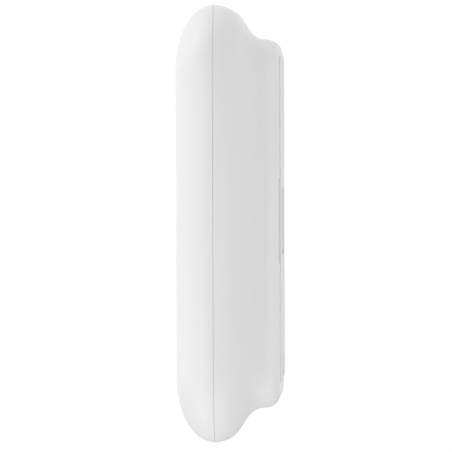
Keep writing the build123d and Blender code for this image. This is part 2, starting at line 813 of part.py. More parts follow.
def earth_stud():
    """A brass earthing stud with two nuts."""
    front = BAY_PLATE_Y[0]
    stud = rod(4, (195, front - 26, -276), (195, front, -276))
    for y in (front - 7, front - 16):
        nut = Plane(origin=(195, y, -276), z_dir=(0, 1, 0)) * RegularPolygon(7.5, 6)
        stud += extrude(nut, 6)
    return stud


# Controls --------------------------------------------------------------------


def isolator_bezel(solid):
    """The cup that the isolator's knob sits in, cut off flush with the housing."""
    floor = ISOLATOR_FLOOR_X
    inner_end = (floor + 3, ISOLATOR_Y, ISOLATOR_Z)
    outer_end = (-HALF_W - 5, ISOLATOR_Y, ISOLATOR_Z)
    cup = rod(BEZEL_R, inner_end, outer_end)
    cup -= rod(BEZEL_R - 2.5, (floor, ISOLATOR_Y, ISOLATOR_Z), outer_end)
    cup -= rod(SHAFT_R + 0.5, (floor + 4, ISOLATOR_Y, ISOLATOR_Z), outer_end)
    return cup & solid


def isolator_body():
    """The rotary isolator switch behind the bezel."""
    back = ISOLATOR_FLOOR_X + 3
    y_span = (ISOLATOR_Y - 22, ISOLATOR_Y + 22)
    body = block((back, back + 52), y_span, (ISOLATOR_Z - 30, ISOLATOR_Z + 30))
    body = fillet(body.edges().filter_by(Axis.X), 4)
    start = (back - 1, ISOLATOR_Y, ISOLATOR_Z)
    body -= rod(SHAFT_R + RUNNING_GAP, start, (back + 24, ISOLATOR_Y, ISOLATOR_Z))
    for dz in (-20, 0, 20):
        low = ISOLATOR_Z + dz - 5
        body -= block((back + 40, back + 53), (ISOLATOR_Y - 23, ISOLATOR_Y - 15), (low, low + 10))
    return body


def isolator_knob():
    """The knob and its shaft: a round base with a raised grip bar."""
    floor = ISOLATOR_FLOOR_X
    y, z = ISOLATOR_Y, ISOLATOR_Z
    base = rod(KNOB_R, (floor - 7, y, z), (floor - 0.5, y, z))
    base = chamfer(base.faces().sort_by(Axis.X)[0].edges(), 1)
    reach = KNOB_R - 2
    grip = block((floor - 18, floor - 6), (y - 4.5, y + 4.5), (z - reach, z + reach))
    grip = fillet(grip.edges().filter_by(Axis.X), 3)
    grip = fillet(grip.faces().sort_by(Axis.X)[0].edges(), 1.2)
    shaft = rod(SHAFT_R, (floor - 1, y, z), (floor + 25, y, z))
    mark = block((floor - 18.5, floor - 17.4), (y - 0.8, y + 0.8), (z + 3, z + 11))
    return base + grip + shaft - mark


def button_bezel(solid):
    """The small cup round the push button, cut off flush with the housing."""
    outer_end = (-HALF_W - 5, BUTTON_Y, BUTTON_Z)
    cup = rod(BUTTON_R + 3, (BUTTON_FLOOR_X + 2, BUTTON_Y, BUTTON_Z), outer_end)
    cup -= rod(BUTTON_R + 0.4, (BUTTON_FLOOR_X, BUTTON_Y, BUTTON_Z), outer_end)
    cup -= rod(STEM_R + RUNNING_GAP, (BUTTON_FLOOR_X + 3, BUTTON_Y, BUTTON_Z), outer_end)
    return cup & solid


def power_button():
    """The push button with its stem; it sits 2.5 mm above the cup's floor."""
    outer = BUTTON_FLOOR_X - 8.5
    cap = rod(BUTTON_R, (outer, BUTTON_Y, BUTTON_Z), (BUTTON_FLOOR_X - 2.5, BUTTON_Y, BUTTON_Z))
    cap = fillet(cap.faces().sort_by(Axis.X)[0].edges(), 1.2)
    stem_end = (BUTTON_FLOOR_X + 5, BUTTON_Y, BUTTON_Z)
    return cap + rod(STEM_R, (BUTTON_FLOOR_X - 3, BUTTON_Y, BUTTON_Z), stem_end)


def status_light_guide(solid):
    """The clear rod that carries the status light to the surface."""
    guide = rod(LIGHT_R, (-294, BUTTON_Y, LIGHT_Z), (-HALF_W - 5, BUTTON_Y, LIGHT_Z))
    return guide & solid


def status_board():
    """The small board that holds the button's switch and the status light."""
    board = block((-290.4, -288.8), (BUTTON_Y - 18, BUTTON_Y + 18), (BUTTON_Z - 14, LIGHT_Z + 12))
    switch = block((-296, -290.4), (BUTTON_Y - 4, BUTTON_Y + 4), (BUTTON_Z - 4, BUTTON_Z + 4))
    lamp = block((-293, -290.4), (BUTTON_Y - 3, BUTTON_Y + 3), (LIGHT_Z - 3, LIGHT_Z + 3))
    return board + switch + lamp


# Air and coolant -------------------------------------------------------------


def fan_tray():
    """The sheet that the fans stand on, with a round hole under each."""
    tray = block((-115, 115), (-84, -10.5), (FAN_Z - 2, FAN_Z))
    for side in (-1, 1):
        centre = (side * FAN_X, FAN_Y)
        tray -= rod(FAN_BORE_R, (*centre, FAN_Z - 3), (*centre, FAN_Z + 1))
    return tray


def fan_frame(side):
    """A square fan frame, with three struts that hold the motor's foot."""
    x, y = side * FAN_X, FAN_Y
    half = FAN_SIZE / 2
    frame = block((x - half, x + half), (y - half, y + half), (FAN_Z, FAN_Z + FAN_DEPTH))
    frame = fillet(frame.edges().filter_by(Axis.Z), 3)
    frame -= rod(FAN_BORE_R, (x, y, FAN_Z - 1), (x, y, FAN_Z + FAN_DEPTH + 1))
    hub = rod(13, (x, y, FAN_Z), (x, y, FAN_Z + 3))
    for turn in range(3):
        strut = Pos(20, 0, 1.5) * Box(20, 3, 3)
        hub += Pos(x, y, FAN_Z) * Rot(0, 0, 120 * turn) * strut
    frame += hub
    for dx in (-25, 25):
        for dy in (-25, 25):
            frame -= rod(2, (x + dx, y + dy, FAN_Z - 1), (x + dx, y + dy, FAN_Z + FAN_DEPTH + 1))
    return frame - rod(1.5 + RUNNING_GAP, (x, y, FAN_Z - 1), (x, y, FAN_Z + 4))


def fan_rotor(side):
    """Seven pitched blades round a hub, with a shaft that runs in the frame's foot."""
    hub = rod(12.5, (0, 0, 4), (0, 0, FAN_DEPTH - 3))
    hub = fillet(hub.faces().sort_by(Axis.Z)[-1].edges(), 2)
    rotor = hub + rod(1.5, (0, 0, 1), (0, 0, 5))
    reach = FAN_TIP_R - 11
    blade = Pos(11 + reach / 2, 0, FAN_DEPTH / 2 + 0.5) * Rot(52, 0, 0) * Box(reach, 1.6, 17)
    tip = rod(FAN_TIP_R, (0, 0, 4), (0, 0, FAN_DEPTH - 2))
    for index in range(FAN_BLADES):
        rotor += (Rot(0, 0, 360 * index / FAN_BLADES) * blade) & tip
    return Pos(side * FAN_X, FAN_Y, FAN_Z) * rotor


def heat_exchanger():
    """A finned plate on the back of the pack, standing in the air path, with two nipples."""
    low, high = EXCHANGER_Z
    comb = block((-EXCHANGER_HALF_W, EXCHANGER_HALF_W), (-59.9, EXCHANGER_Y[0]), (low, high))
    fin_count = 33
    pitch = (2 * EXCHANGER_HALF_W - 4) / (fin_count - 1)
    for fin in range(fin_count):
        x = -EXCHANGER_HALF_W + 2 + fin * pitch
        fin_z = (low + 12, high - 22)
        comb += block((x - 0.8, x + 0.8), (EXCHANGER_Y[0] - 0.5, EXCHANGER_Y[1]), fin_z)
    nipple_x, nipple_y = EXCHANGER_NIPPLE
    for x in (-nipple_x, nipple_x):
        comb += block((x - 10, x + 10), (EXCHANGER_Y[0] - 0.5, nipple_y + 10), (high - 20, high))
        comb += rod(5, (x, nipple_y, high - 4), (x, nipple_y, high + 14))
        comb -= rod(3.2, (x, nipple_y, high - 12), (x, nipple_y, high + 15))
    return comb


def pump_housing():
    """The coolant pump: a round case with an impeller chamber, an inlet on top and an outlet."""
    x, y, z = PUMP
    case = rod(22, (x, y, z - 30), (x, y, z + 16))
    case = fillet(case.faces().sort_by(Axis.Z)[0].edges(), 3)
    case += rod(6, (x, y, z + 14), (x, y, z + 34))
    case += rod(6, (PUMP_OUTLET_X, y - 12, z), (PUMP_OUTLET_X, y - 34, z))
    case -= rod(17, (x, y, z - 7), (x, y, z + 9))
    case -= rod(3.5, (x, y, z + 8), (x, y, z + 35))
    case -= rod(3.5, (PUMP_OUTLET_X, y - 8, z), (PUMP_OUTLET_X, y - 35, z))
    return case - rod(2 + RUNNING_GAP, (x, y, z - 20), (x, y, z - 6))


def pump_impeller():
    """A disc with six vanes on a short shaft."""
    x, y, z = PUMP
    rotor = rod(15, (0, 0, -5), (0, 0, -2)) + rod(4, (0, 0, -2), (0, 0, 4))
    vane = Pos(9, 0, 1) * Box(11, 1.5, 6)
    for turn in range(6):
        rotor += Rot(0, 0, 60 * turn) * vane
    return Pos(x, y, z) * (rotor + rod(2, (0, 0, -18), (0, 0, -4)))


def coolant_reservoir():
    """The coolant bottle, with a filler cap and two nipples."""
    x = sum(TANK_X) / 2
    tank = block(TANK_X, TANK_Y, TANK_Z)
    tank = fillet(tank.edges(), 9)
    x_in = (TANK_X[0] + 2.5, TANK_X[1] - 2.5)
    tank -= block(x_in, (TANK_Y[0] + 2.5, TANK_Y[1] - 2.5), (TANK_Z[0] + 3, TANK_Z[1] - 3))
    tank += tube(5, 3.2, (x, -150, TANK_Z[0] - 14), (x, -150, TANK_Z[0] + 2.9))
    tank += tube(5, 3.2, (x, -150, TANK_Z[1] - 2.9), (x, -150, TANK_Z[1] + 14))
    return tank + rod(9, (x, -176, TANK_Z[1] - 2.9), (x, -176, TANK_Z[1] + 10))


def hose(points):
    """A rubber hose along a bent centre line, open at both ends."""
    bent = len(points) > 2
    path = FilletPolyline(*points, radius=HOSE_BEND_R) if bent else Line(*points)
    start = Plane(origin=path @ 0, z_dir=path % 0)
    return sweep(start * (Circle(HOSE_R) - Circle(HOSE_BORE_R)), path)


def coolant_hoses():
    """Hoses from tank to pump, pump to cold plate, cold plate to exchanger and back to tank."""
    x, y, z = PUMP
    gap = 0.2
    plate_x, plate_y, plate_z = PLATE_NIPPLE
    plate_end = plate_z + gap
    core_x, core_y = EXCHANGER_NIPPLE
    core_end = EXCHANGER_Z[1] + 14 + gap
    outlet = PUMP_OUTLET_X
    suction = [(x, y, z + 34 + gap), (x, y, TANK_Z[0] - 14 - gap)]
    feed = [
        (outlet, y - 34 - gap, z),
        (outlet, FEED_Y, z),
        (outlet, FEED_Y, FEED_TOP_Z),
        (plate_x, plate_y, FEED_TOP_Z),
        (plate_x, plate_y, plate_end),
    ]
    link = [
        (-plate_x, plate_y, plate_end),
        (-plate_x, plate_y, LINK_TOP_Z),
        (-core_x, core_y, LINK_TOP_Z),
        (-core_x, core_y, core_end),
    ]
    back = [
        (core_x, core_y, core_end),
        (core_x, core_y, BACK_TOP_Z),
        (x, y, BACK_TOP_Z),
        (x, y, TANK_Z[1] + 14 + gap),
    ]
    return group([hose(suction), hose(feed), hose(link), hose(back)])


# Rear conduit entries --------------------------------------------------------


def conduit_hubs():
    """Two bushings in the back panel that conduit is fixed into."""
    hubs = []
    for side in (-1, 1):
        x = side * HUB_X
        hub = rod(HUB_NECK_R, (x, -32, HUB_Z), (x, SHELL_BACK_Y, HUB_Z))
        hub += rod(HUB_R, (x, -14, HUB_Z), (x, SHELL_BACK_Y - PANEL_T, HUB_Z))
        hubs.append(hub - rod(HUB_BORE_R, (x, -33, HUB_Z), (x, 0, HUB_Z)))
    return group(hubs)


def hub_seals():
    """Rubber seals at the inner ends of the hubs, pierced for the cables."""
    seals = []
    for side in (-1, 1):
        x = side * HUB_X
        seals.append(tube(HUB_NECK_R, 4, (x, -36, HUB_Z), (x, -32, HUB_Z)))
    return group(seals)


# Cover fixings ---------------------------------------------------------------


def stud_places():
    """Where the cover's studs stand, as (x, z, direction out to the nearest wall)."""
    x = HALF_W - 22
    z = HALF_H - 22
    sides = [(side * x, height, (side, 0)) for side in (-1, 1) for height in (-290, 0, 290)]
    ends = [(across, end * z, (0, end)) for end in (-1, 1) for across in (-110, 110)]
    return sides + ends


def cover_studs(cover_inside):
    """Ball-ended studs on bosses inside the cover."""
    studs = []
    for x, z, _ in stud_places():
        boss = rod(5, (x, SEAM_Y - 57, z), (x, STUD_SHOULDER_Y, z)) & cover_inside
        pin = rod(2.5, (x, STUD_SHOULDER_Y - 1, z), (x, STUD_BALL_Y - 1, z))
        pin += Pos(x, STUD_BALL_Y, z) * Sphere(3.1)
        studs.append(boss + pin)
    return group(studs)


def clip_sockets(shell_inside):
    """Sprung sockets on arms from the rear shell that the cover's studs snap into."""
    sockets = []
    for x, z, (out_x, out_z) in stud_places():
        arm = rod(7, (x, STUD_BALL_Y - 10, z), (x, STUD_BALL_Y + 10, z))
        reach = 30
        x_span = sorted((x - 4 * abs(out_z), x + out_x * reach + 4 * abs(out_z)))
        z_span = sorted((z - 4 * abs(out_x), z + out_z * reach + 4 * abs(out_x)))
        arm += block(x_span, (STUD_BALL_Y, STUD_BALL_Y + 10), z_span)
        socket = arm & shell_inside
        sockets.append(socket - rod(3.7, (x, STUD_BALL_Y - 11, z), (x, STUD_BALL_Y + 8, z)))
    return group(sockets)


def cover_liner():
    """The foam sheet glued inside the cover's flat face."""
    sheet = block((-180, 180), (FRONT_Y + COVER_WALL + 0.1, FRONT_Y + 10), (-350, 350))
    return fillet(sheet.edges().filter_by(Axis.Y), 20)


def build():
    """Every node of the unit, by name."""
    solid = housing(0)
    cover_inside = housing(COVER_WALL)
    shell_inside = housing(SHELL_WALL)
    return {
        "wall_bracket": wall_bracket(),
        "bracket_hooks": bracket_hooks(),
        "hook_rivets": hook_rivets(),
        "rear_shell": rear_shell(solid, shell_inside),
        "back_panel": back_panel(),
        "back_panel_screws": back_panel_screws(),
        "seam_gasket": seam_gasket(shell_inside),
        "handhold_liners": handhold_liners(shell_inside),
        "vent_grilles": group([vent_grille(solid, 1), vent_grille(solid, -1)]),
        "hanger_rails": group([hanger_rail(hook_z) for hook_z in HOOK_Z]),
        "chassis_frame": chassis_frame(),
        "hanger_bolts": hanger_bolts(),
        "pack_tray": pack_tray(),
        "pack_lid": pack_lid(),
        "pack_gasket": pack_gasket(),
        "pack_lid_screws": pack_lid_screws(),
        "cells_left": cell_column(0),
        "cells_middle": cell_column(1),
        "cells_right": cell_column(2),
        "cell_busbars": cell_busbars(),
        "cell_sense_boards": cell_sense_boards(),
        "module_end_plates": module_end_plates(),
        "thermal_pads": thermal_pads(),
        "cold_plate": cold_plate(),
        "pack_vent_valve": pack_vent_valve(),
        "converter_housing": converter_housing(),
        "converter_lid": converter_lid(),
        "converter_board": converter_board(),
        "converter_inductors": converter_inductors(),
        "converter_capacitors": converter_capacitors(),
        "control_board": control_board(),
        "switchgear_plate": bay_plate(),
        "main_contactors": contactors(),
        "fuse_block": fuse_block(),
        "main_fuse": main_fuse(),
        "terminal_block": terminal_block(),
        "terminal_screws": terminal_screws(),
        "earth_stud": earth_stud(),
        "isolator_bezel": isolator_bezel(solid),
        "isolator_body": isolator_body(),
        "isolator_knob": isolator_knob(),
        "button_bezel": button_bezel(solid),
        "power_button": power_button(),
        "status_light_guide": status_light_guide(solid),
        "status_board": status_board(),
        "fan_tray": fan_tray(),
        "fan_frames": group([fan_frame(-1), fan_frame(1)]),
        "fan_rotor_left": fan_rotor(-1),
        "fan_rotor_right": fan_rotor(1),
        "heat_exchanger": heat_exchanger(),
        "pump_housing": pump_housing(),
        "pump_impeller": pump_impeller(),
        "coolant_reservoir": coolant_reservoir(),
        "coolant_hoses": coolant_hoses(),
        "conduit_hubs": conduit_hubs(),
        "hub_seals": hub_seals(),
        "front_cover": front_cover(solid, cover_inside),
        "cover_studs": cover_studs(cover_inside),
        "clip_sockets": clip_sockets(shell_inside),
        "cover_liner": cover_liner(),
    }


os.makedirs("parts", exist_ok=True)
for name, shape in build().items():
    export_step(shape, f"parts/{name}.step")
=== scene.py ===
import json
import math

import bmesh
import bpy
from mathutils import Matrix, Vector

# Finishes, camera and studio for a wall battery unit. The CAD nodes are its visible pieces.

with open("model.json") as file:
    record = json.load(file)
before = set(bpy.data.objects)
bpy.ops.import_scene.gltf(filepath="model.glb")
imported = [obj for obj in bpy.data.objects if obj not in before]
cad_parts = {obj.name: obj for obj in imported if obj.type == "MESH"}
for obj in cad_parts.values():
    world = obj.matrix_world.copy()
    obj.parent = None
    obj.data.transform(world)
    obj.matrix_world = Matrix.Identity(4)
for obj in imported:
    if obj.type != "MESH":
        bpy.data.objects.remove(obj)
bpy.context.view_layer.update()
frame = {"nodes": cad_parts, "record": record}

# Camera: seen from the right side, a little from behind and above, through a very long lens
CAMERA_AZIMUTH = math.radians(91.6)
CAMERA_ELEVATION = math.radians(1.2)
CAMERA_ROLL = math.radians(-0.2)
CAMERA_DISTANCE = 16.0
CAMERA_CLIP_END = 100.0
CAMERA_TARGET = Vector((0.0, -0.1312, -0.0091))
VIEW_WIDTH = 1.044
SENSOR_WIDTH = 36.0

# Studio: the world is brighter towards the unit's left, which the camera has behind the unit
WORLD_LEVEL = 0.77
WORLD_LEFT_GAIN = 0.25
SOFTBOX_SIZE = 2.4
SOFTBOX_DISTANCE = 3.0
# Each softbox: azimuth and elevation in degrees, as for the camera, and its power in watts
SOFTBOXES = (
    (0.0, 0.0, 2.0),
    (0.0, 45.0, 17.0),
    (45.0, 0.0, 12.0),
    (120.0, 0.0, 8.5),
    (150.0, 45.0, 4.0),
    (160.0, 0.0, 5.0),
    (15.0, 60.0, 8.0),
    (30.0, -40.0, 22.0),
    (125.0, -40.0, 11.0),
)
FLOOR_Z = -3.0
FLOOR_RADIUS = 20.0
FLOOR_SIDES = 96
FLOOR_COLOUR = (0.76, 0.76, 0.76)

# Shaders: the middle part of a noise texture's range, which holds nearly all of its values
NOISE_LOW = 0.3
NOISE_HIGH = 0.7
# The sockets that a Mix node uses for colours
MIX_FACTOR = 0
MIX_FIRST = 6
MIX_SECOND = 7
MIX_RESULT = 2
# The paint's specular level and the weight of its clear coat
PAINT_GLOSS = 0.35
PAINT_COAT = 0.105
# Scales of fine texture, in features per metre
PAINT_PEEL = 420.0
PANEL_PEEL = 700.0
PAINT_SPECKLE = 1600.0
MOULD_GRAIN = 1000.0
CAST_PITS = 1400.0
RUBBER_SKIN = 1100.0
FOAM_PORES = 700.0
BRAID_RIBS = 260.0
BOARD_RUNS = 90.0

# The unit's white
WHITE = (0.78, 0.78, 0.78)


# Node helpers ----------------------------------------------------------------


def new_material(name):
    """A material with a bare Principled shader; returns its node tree and the shader."""
    material = bpy.data.materials.new(name)
    material.use_nodes = True
    tree = material.node_tree
    tree.nodes.clear()
    output = tree.nodes.new("ShaderNodeOutputMaterial")
    shader = tree.nodes.new("ShaderNodeBsdfPrincipled")
    tree.links.new(shader.outputs["BSDF"], output.inputs["Surface"])
    return material, tree, shader


def noise(tree, scale, detail=3.0, roughness=0.5, stretch=(1.0, 1.0, 1.0)):
    """Noise in the object's own space; `scale` is in features per metre."""
    place = tree.nodes.new("ShaderNodeTexCoord")
    mapping = tree.nodes.new("ShaderNodeMapping")
    mapping.inputs["Scale"].default_value = stretch
    texture = tree.nodes.new("ShaderNodeTexNoise")
    texture.inputs["Scale"].default_value = scale
    texture.inputs["Detail"].default_value = detail
    texture.inputs["Roughness"].default_value = roughness
    tree.links.new(place.outputs["Object"], mapping.inputs["Vector"])
    tree.links.new(mapping.outputs["Vector"], texture.inputs["Vector"])
    return texture.outputs["Fac"]


def remap(tree, value, low, high):
    """A noise value spread over `low`..`high`."""
    node = tree.nodes.new("ShaderNodeMapRange")
    node.inputs["From Min"].default_value = NOISE_LOW
    node.inputs["From Max"].default_value = NOISE_HIGH
    node.inputs["To Min"].default_value = low
    node.inputs["To Max"].default_value = high
    tree.links.new(value, node.inputs["Value"])
    return node.outputs["Result"]


def blend_colours(tree, value, first, second):
    """The colour between two colours that a 0..1 value picks."""
    node = tree.nodes.new("ShaderNodeMix")
    node.data_type = "RGBA"
    node.inputs[MIX_FIRST].default_value = (*first, 1.0)
    node.inputs[MIX_SECOND].default_value = (*second, 1.0)
    tree.links.new(value, node.inputs[MIX_FACTOR])
    return node.outputs[MIX_RESULT]


def add_bump(tree, shader, layers):
    """Bump layers as (height, strength, distance in metres), the finest last."""
    normal = None
    for height, strength, distance in layers:
        bump = tree.nodes.new("ShaderNodeBump")
        bump.inputs["Strength"].default_value = strength
        bump.inputs["Distance"].default_value = distance
        tree.links.new(height, bump.inputs["Height"])
        if normal is not None:
            tree.links.new(normal, bump.inputs["Normal"])
        normal = bump.outputs["Normal"]
    tree.links.new(normal, shader.inputs["Normal"])


def tint(colour, factor):
    """A colour made lighter or darker."""
    return tuple(min(1.0, channel * factor) for channel in colour)


# Materials -------------------------------------------------------------------


def paint(name, colour, roughness, peel=0.0003, peel_scale=PAINT_PEEL):
    """Satin paint: faint mottling, orange peel and a thin clear coat."""
    material, tree, shader = new_material(name)
    broad = noise(tree, 7.0, 2.0)
    fine = noise(tree, PAINT_SPECKLE, 2.0)
    mottled = blend_colours(tree, remap(tree, broad, 0.0, 1.0), tint(colour, 0.993), tint(colour, 1.005))
    tree.links.new(mottled, shader.inputs["Base Color"])
    tree.links.new(remap(tree, fine, roughness - 0.05, roughness + 0.05), shader.inputs["Roughness"])
    shader.inputs["Coat Weight"].default_value = PAINT_COAT
    shader.inputs["Coat Roughness"].default_value = 0.3
    shader.inputs["Specular IOR Level"].default_value = PAINT_GLOSS
    add_bump(tree, shader, [(noise(tree, peel_scale, 2.0), 0.6, peel), (fine, 0.4, peel * 0.3)])
    return material


def moulding(name, colour, roughness=0.5, grain=0.0003):
    """Moulded plastic with a fine spark-eroded grain and slight gloss changes."""
    material, tree, shader = new_material(name)
    broad = noise(tree, 25.0, 3.0)
    cells = tree.nodes.new("ShaderNodeTexVoronoi")
    cells.inputs["Scale"].default_value = MOULD_GRAIN
    place = tree.nodes.new("ShaderNodeTexCoord")
    tree.links.new(place.outputs["Object"], cells.inputs["Vector"])
    shade = blend_colours(tree, remap(tree, broad, 0.0, 1.0), tint(colour, 0.93), tint(colour, 1.06))
    tree.links.new(shade, shader.inputs["Base Color"])
    tree.links.new(remap(tree, broad, roughness - 0.06, roughness + 0.08), shader.inputs["Roughness"])
    shader.inputs["Specular IOR Level"].default_value = 0.45
    add_bump(tree, shader, [(cells.outputs["Distance"], 0.4, grain)])
    return material


def plated_steel(name, colour, brush=(1.0, 1.0, 14.0), roughness=0.36):
    """Zinc-plated or bare metal: cloudy spangle, rolling lines along one axis and light scuffs."""
    material, tree, shader = new_material(name)
    spangle = noise(tree, 60.0, 4.0, 0.6)
    lines = noise(tree, 500.0, 3.0, 0.6, stretch=brush)
    scuffs = noise(tree, 18.0, 8.0, 0.75)
    shade = blend_colours(tree, remap(tree, spangle, 0.0, 1.0), tint(colour, 0.82), tint(colour, 1.12))
    tree.links.new(shade, shader.inputs["Base Color"])
    shader.inputs["Metallic"].default_value = 1.0
    tree.links.new(remap(tree, scuffs, roughness - 0.1, roughness + 0.16), shader.inputs["Roughness"])
    add_bump(tree, shader, [(lines, 0.3, 0.00006), (spangle, 0.1, 0.0001)])
    return material


def cast_metal(name, colour):
    """Sand-blasted cast aluminium."""
    material, tree, shader = new_material(name)
    pits = noise(tree, CAST_PITS, 4.0, 0.7)
    clouds = noise(tree, 22.0, 4.0)
    shade = blend_colours(tree, remap(tree, clouds, 0.0, 1.0), tint(colour, 0.86), tint(colour, 1.06))
    tree.links.new(shade, shader.inputs["Base Color"])
    shader.inputs["Metallic"].default_value = 1.0
    tree.links.new(remap(tree, pits, 0.42, 0.62), shader.inputs["Roughness"])
    add_bump(tree, shader, [(pits, 0.5, 0.00012)])
    return material


def rubber(name, colour):
    """Matt rubber with a bloom that greys it in patches."""
    material, tree, shader = new_material(name)
    bloom = noise(tree, 35.0, 5.0, 0.6)
    skin = noise(tree, RUBBER_SKIN, 3.0)
    shade = blend_colours(tree, remap(tree, bloom, 0.0, 1.0), colour, tint(colour, 1.3))
    tree.links.new(shade, shader.inputs["Base Color"])
    tree.links.new(remap(tree, bloom, 0.62, 0.8), shader.inputs["Roughness"])
    shader.inputs["Sheen Weight"].default_value = 0.15
    add_bump(tree, shader, [(skin, 0.35, 0.0001)])
    return material


def braided_hose(name, colour):
    """Rubber hose with the print of its braid."""
    material, tree, shader = new_material(name)
    place = tree.nodes.new("ShaderNodeTexCoord")
    waves = []
    for turn in (0.8, -0.8):
        mapping = tree.nodes.new("ShaderNodeMapping")
        mapping.inputs["Rotation"].default_value = (turn, turn * 0.5, 0.0)
        wave = tree.nodes.new("ShaderNodeTexWave")
        wave.inputs["Scale"].default_value = BRAID_RIBS
        wave.inputs["Distortion"].default_value = 0.4
        tree.links.new(place.outputs["Object"], mapping.inputs["Vector"])
        tree.links.new(mapping.outputs["Vector"], wave.inputs["Vector"])
        waves.append(wave.outputs["Fac"])
    dust = noise(tree, 40.0, 5.0)
    shade = blend_colours(tree, remap(tree, dust, 0.0, 1.0), colour, tint(colour, 1.7))
    tree.links.new(shade, shader.inputs["Base Color"])
    tree.links.new(remap(tree, dust, 0.5, 0.7), shader.inputs["Roughness"])
    add_bump(tree, shader, [(waves[0], 0.3, 0.0002), (waves[1], 0.3, 0.0002)])
    return material


def circuit_board(name, colour):
    """Solder mask over copper runs, which show as lighter lines and stand up slightly."""
    material, tree, shader = new_material(name)
    place = tree.nodes.new("ShaderNodeTexCoord")
    runs = tree.nodes.new("ShaderNodeTexBrick")
    runs.inputs["Scale"].default_value = BOARD_RUNS
    runs.inputs["Mortar Size"].default_value = 0.06
    mapping = tree.nodes.new("ShaderNodeMapping")
    mapping.inputs["Rotation"].default_value = (math.pi / 2, 0.0, 0.0)
    tree.links.new(place.outputs["Object"], mapping.inputs["Vector"])
    tree.links.new(mapping.outputs["Vector"], runs.inputs["Vector"])
    shade = blend_colours(tree, runs.outputs["Fac"], colour, tint(colour, 2.0))
    tree.links.new(shade, shader.inputs["Base Color"])
    tree.links.new(remap(tree, noise(tree, 60.0), 0.22, 0.36), shader.inputs["Roughness"])
    add_bump(tree, shader, [(runs.outputs["Fac"], 0.4, 0.00008)])
    return material


def glowing_rod(name, colour):
    """Clear light guide with a faint clouding."""
    material, tree, shader = new_material(name)
    cloud = noise(tree, 300.0, 3.0)
    shade = blend_colours(tree, remap(tree, cloud, 0.0, 1.0), tint(colour, 0.92), colour)
    tree.links.new(shade, shader.inputs["Base Color"])
    tree.links.new(remap(tree, cloud, 0.12, 0.25), shader.inputs["Roughness"])
    shader.inputs["Transmission Weight"].default_value = 0.35
    shader.inputs["Subsurface Weight"].default_value = 0.1
    add_bump(tree, shader, [(cloud, 0.1, 0.00005)])
    return material


def shrink_film(name, colour):
    """Thin glossy film shrunk over a can, with soft ripples."""
    material, tree, shader = new_material(name)
    ripples = noise(tree, 45.0, 3.0, 0.5, stretch=(1.0, 1.0, 3.0))
    cloud = noise(tree, 14.0, 3.0)
    shade = blend_colours(tree, remap(tree, cloud, 0.0, 1.0), tint(colour, 0.85), tint(colour, 1.12))
    tree.links.new(shade, shader.inputs["Base Color"])
    tree.links.new(remap(tree, cloud, 0.25, 0.37), shader.inputs["Roughness"])
    shader.inputs["Coat Weight"].default_value = 0.4
    add_bump(tree, shader, [(ripples, 0.3, 0.0005)])
    return material


def foam(name, colour):
    """Closed-cell foam sheet with open pores at its cut faces."""
    material, tree, shader = new_material(name)
    place = tree.nodes.new("ShaderNodeTexCoord")
    pores = tree.nodes.new("ShaderNodeTexVoronoi")
    pores.inputs["Scale"].default_value = FOAM_PORES
    tree.links.new(place.outputs["Object"], pores.inputs["Vector"])
    shade = blend_colours(tree, pores.outputs["Distance"], tint(colour, 0.7), tint(colour, 1.25))
    tree.links.new(shade, shader.inputs["Base Color"])
    tree.links.new(remap(tree, noise(tree, 30.0), 0.8, 0.95), shader.inputs["Roughness"])
    add_bump(tree, shader, [(pores.outputs["Distance"], 0.6, 0.0004)])
    return material


def studio_floor(name, colour):
    """Matt screed with an even, very faint speckle."""
    material, tree, shader = new_material(name)
    speckle = noise(tree, 350.0, 2.0)
    shade = blend_colours(tree, remap(tree, speckle, 0.0, 1.0), tint(colour, 0.99), tint(colour, 1.01))
    tree.links.new(shade, shader.inputs["Base Color"])
    tree.links.new(remap(tree, speckle, 0.85, 0.95), shader.inputs["Roughness"])
    shader.inputs["Specular IOR Level"].default_value = 0.1
    add_bump(tree, shader, [(speckle, 0.1, 0.0001)])
    return material


